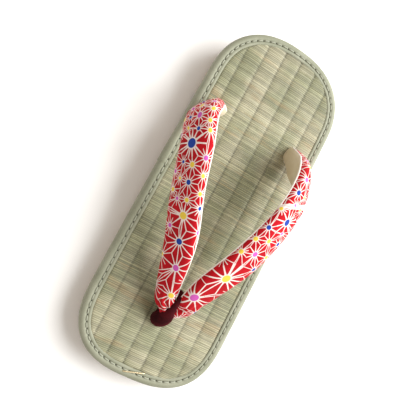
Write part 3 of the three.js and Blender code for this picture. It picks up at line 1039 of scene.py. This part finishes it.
def cotton_material():
    paint = Paint("printed_cotton")
    x, y = "petal_run", "petal_across"
    wobble = paint.math("SUBTRACT", paint.noise(420, 2), 0.5)
    reach = paint.math("SQRT", paint.math("MULTIPLY_ADD", x, x, paint.math("MULTIPLY", y, y)))
    eye = paint.math("MULTIPLY", "eye", 0.92)
    beyond = paint.math("SUBTRACT", reach, paint.math("MULTIPLY", eye, 1.24))
    flare = paint.ease(beyond, 0, 2.6, 1.45, 1)
    half_ray = paint.math("MULTIPLY", paint.math("MULTIPLY_ADD", "size", 0.024, 0.02), flare)
    outside = paint.math("SUBTRACT", paint.math("ABSOLUTE", "off_ray"), half_ray)
    outside = paint.math("MULTIPLY_ADD", wobble, 0.12, outside)
    ray = paint.ease(outside, -0.07, 0.09, 1, 0)
    ring = paint.ease(paint.math("MULTIPLY_ADD", wobble, 0.3, beyond), -0.1, 0.2, 1, 0)
    dot = paint.ease(paint.math("SUBTRACT", reach, eye), -0.12, 0.1, 1, 0)
    off_seam = paint.math("ABSOLUTE", "off_seam")
    seam = paint.math("MULTIPLY", paint.ease(off_seam, 1.3, 1.6, 1, 0),
                      paint.ease(off_seam, 0.2, 0.5, 0.55, 1))
    white = paint.math("MAXIMUM", paint.math("MAXIMUM", ray, seam), ring)
    red = paint.mottle(90, 3, srgb(190, 14, 28), srgb(168, 8, 22))
    colour = paint.mix(white, red, srgb(234, 222, 216))
    centre = EYE_COLOURS[B]
    for hue in (P, Y, W):
        reached = paint.math("GREATER_THAN", "hue", hue - 0.5)
        centre = paint.mix(reached, centre, EYE_COLOURS[hue])
    colour = paint.mix(dot, colour, centre)
    weave = paint.noise(2600, 2)
    colour = paint.shade(colour, paint.ease(weave, 0.2, 0.8, 0.93, 1.03))
    bump = paint.bump(weave, 0.06, 0.5)
    return paint.finish(colour, 0.85, Normal=bump, Specular_IOR_Level=0.15, Sheen_Weight=0.04,
                        Sheen_Roughness=0.5)


# How far round from the section's sides, in radians, the lining's edges lie.
LINING_TURN = 0.3


def make_lining(name, strap, material):
    """The plain cloth strip round a strap's foot side, a little puffed and wrinkled."""
    keep = (strap.run > 7.0) & (strap.run < strap.length - 6.0)
    run = strap.run[keep][:, None]
    wide = 44
    turn = -np.linspace(LINING_TURN, math.pi - LINING_TURN, wide)
    side_unit, depth_unit = section_shape(turn)
    side, depth = strap.section(turn, keep)
    wrinkle = np.sin(run / 2.3 + 1.5 * np.sin(run / 13) + side_unit * 2.2)
    wrinkle *= 0.5 + 0.5 * np.sin(run / 17 + 1)
    size = np.maximum(np.hypot(side, depth), 2.5)
    proud = 1 + (0.32 + 0.2 * wrinkle * np.abs(depth_unit)) / size
    buried = 1 - 0.6 / size
    outer = strap.rings(side * proud, depth * proud, keep)
    inner = strap.rings(side * buried, depth * buried, keep)
    rings = np.concatenate([outer, inner[:, ::-1]], axis=1)
    add_piece(name, rings, capped(len(run), 2 * wide), material, "strap_lining")


def make_piping(name, strap, material):
    """The cloth's turned edge, a thin white cord along both sides of the lining."""
    keep = (strap.run > 9) & (strap.run < strap.length - 7)
    around, radius = 8, 0.6

    def cord(turn):
        side, depth = strap.section(np.array([turn]), keep)
        path = strap.rings(side, depth, keep)[::3, 0]
        return tube(path, radius, around), capped(len(path), around)

    cords = merged([cord(-LINING_TURN), cord(LINING_TURN - math.pi)])
    add_piece(name, *cords, material, "strap_lining")


def lining_material(name, light, dark):
    paint = Paint(name)
    weave = paint.noise(2200, 2)
    colour = paint.mottle(70, 3, dark, light)
    bump = paint.bump(weave, 0.06, 0.5)
    return paint.finish(colour, 0.8, Normal=bump, Specular_IOR_Level=0.25, Sheen_Weight=0.2)


# ---- toe post

def soft_band(rows):
    """A closed band with an oval section, lying in the sandal's middle plane."""
    stations, around = 40, 28
    table = columns(POST_COLUMNS, rows)
    t = np.linspace(0, 1, stations)
    height = footbed_top(table["y"]) + table["rise"]
    places = np.column_stack([0 * table["y"], table["y"], height])
    across = np.tile((1.0, 0.0, 0.0), (stations, 1))
    facing = np.cross(across, way_along(places, t))
    side = np.cos(full_turn(around)) * ease_through(table["half_width"], t)[:, None]
    depth = np.sin(full_turn(around)) * ease_through(table["half_depth"], t)[:, None]
    rings = round_line(curve_through(places, t), across, facing, side, depth)
    return rings.reshape(-1, 3), capped(stations, around)


def make_toe_post(material):
    """The velvet post and its loop, melted into one soft form."""
    bands = merged([soft_band(TOE_POST), soft_band(POST_LOOP)])
    piece = add_piece("toe_post", *bands, material, "post_velvet", "maetsubo")
    melt = piece.modifiers.new("melt", "REMESH")
    melt.mode = "VOXEL"
    melt.voxel_size = 0.5 * MM
    soften = piece.modifiers.new("soften", "SMOOTH")
    soften.factor, soften.iterations = 0.5, 6
    apply_modifiers(piece)
    smooth_all(piece)


def velvet_material():
    paint = Paint("velvet")
    nap = paint.noise(1500, 3)
    colour = paint.mottle(120, 3, srgb(44, 9, 13), srgb(72, 15, 21), 0.35, 0.7)
    bump = paint.bump(nap, 0.25, 0.8)
    return paint.finish(colour, 0.95, Normal=bump, Specular_IOR_Level=0.1, Sheen_Weight=0.35,
                        Sheen_Roughness=0.35, Sheen_Tint=srgb(170, 50, 66))


# ---- floor, light and camera

def paper_material():
    paint = Paint("paper_floor")
    fine = paint.noise(60, 3)
    colour = paint.mix(fine, srgb(250, 249, 248), srgb(247, 246, 245))
    return paint.finish(colour, 0.9, Specular_IOR_Level=0.1)


def make_floor():
    reach = 4000 * MM
    corners = [(-reach, -reach, 0), (reach, -reach, 0), (reach, reach, 0), (-reach, reach, 0)]
    mesh = bpy.data.meshes.new("floor")
    mesh.from_pydata(corners, [], [[0, 1, 2, 3]])
    mesh.materials.append(paper_material())
    floor = put_in_scene("floor", mesh)


def light_scene():
    world = bpy.data.worlds.new("studio")
    world.use_nodes = True
    backdrop = world.node_tree.nodes["Background"]
    backdrop.inputs["Color"].default_value = (1.0, 0.92, 0.83, 1)
    backdrop.inputs["Strength"].default_value = 0.58
    bpy.context.scene.world = world
    place, target = Vector((-600, -328, 690)), Vector((0, 0, 20))
    light = bpy.data.lights.new("window", "AREA")
    light.energy, light.size, light.color = 18.8, 860 * MM, (0.97, 0.99, 1.0)
    window = put_in_scene("window", light)
    window.location = place * MM
    window.rotation_euler = (target - place).to_track_quat("-Z", "Y").to_euler()
    bpy.context.scene.view_settings.view_transform = "Standard"


def place_camera():
    data = bpy.data.cameras.new("camera")
    data.lens = CAMERA["lens"]
    data.sensor_width = 36
    data.clip_start = 0.01
    camera = put_in_scene("camera", data)
    place, target = Vector(CAMERA["place"]), Vector(CAMERA["target"])
    back = (place - target).normalized()
    right = Vector(CAMERA["up"]).cross(back).normalized()
    turn = Matrix((right, back.cross(right), back)).transposed().to_4x4()
    camera.matrix_world = Matrix.Translation(place * MM) @ turn
    bpy.context.scene.camera = camera


# ---- the sandal

place_camera()
make_floor()
light_scene()

make_mat(rush_material())
make_binding(tape_material())
make_stitches(thread_material())
make_staple(staple_material())
make_midsole(foam_material())
make_outsole(rubber_material())

cotton = cotton_material()
lining = lining_material("lining", srgb(218, 204, 176), srgb(206, 190, 158))
piping = lining_material("piping", srgb(242, 237, 230), srgb(236, 229, 220))
right_strap, right_piece = make_strap(
    "strap_right", RIGHT_STRAP, 1, RIGHT_FLOWERS, RIGHT_CREASES, RIGHT_SEAM, cotton)
left_strap, left_piece = make_strap(
    "strap_left", LEFT_STRAP, -1, LEFT_FLOWERS, LEFT_CREASES, LEFT_SEAM, cotton)
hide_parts("hanao")
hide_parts("hanao")
for side_name, strap in (("right", right_strap), ("left", left_strap)):
    make_lining(f"lining_{side_name}", strap, lining)
    make_piping(f"piping_{side_name}", strap, piping)
make_toe_post(velvet_material())
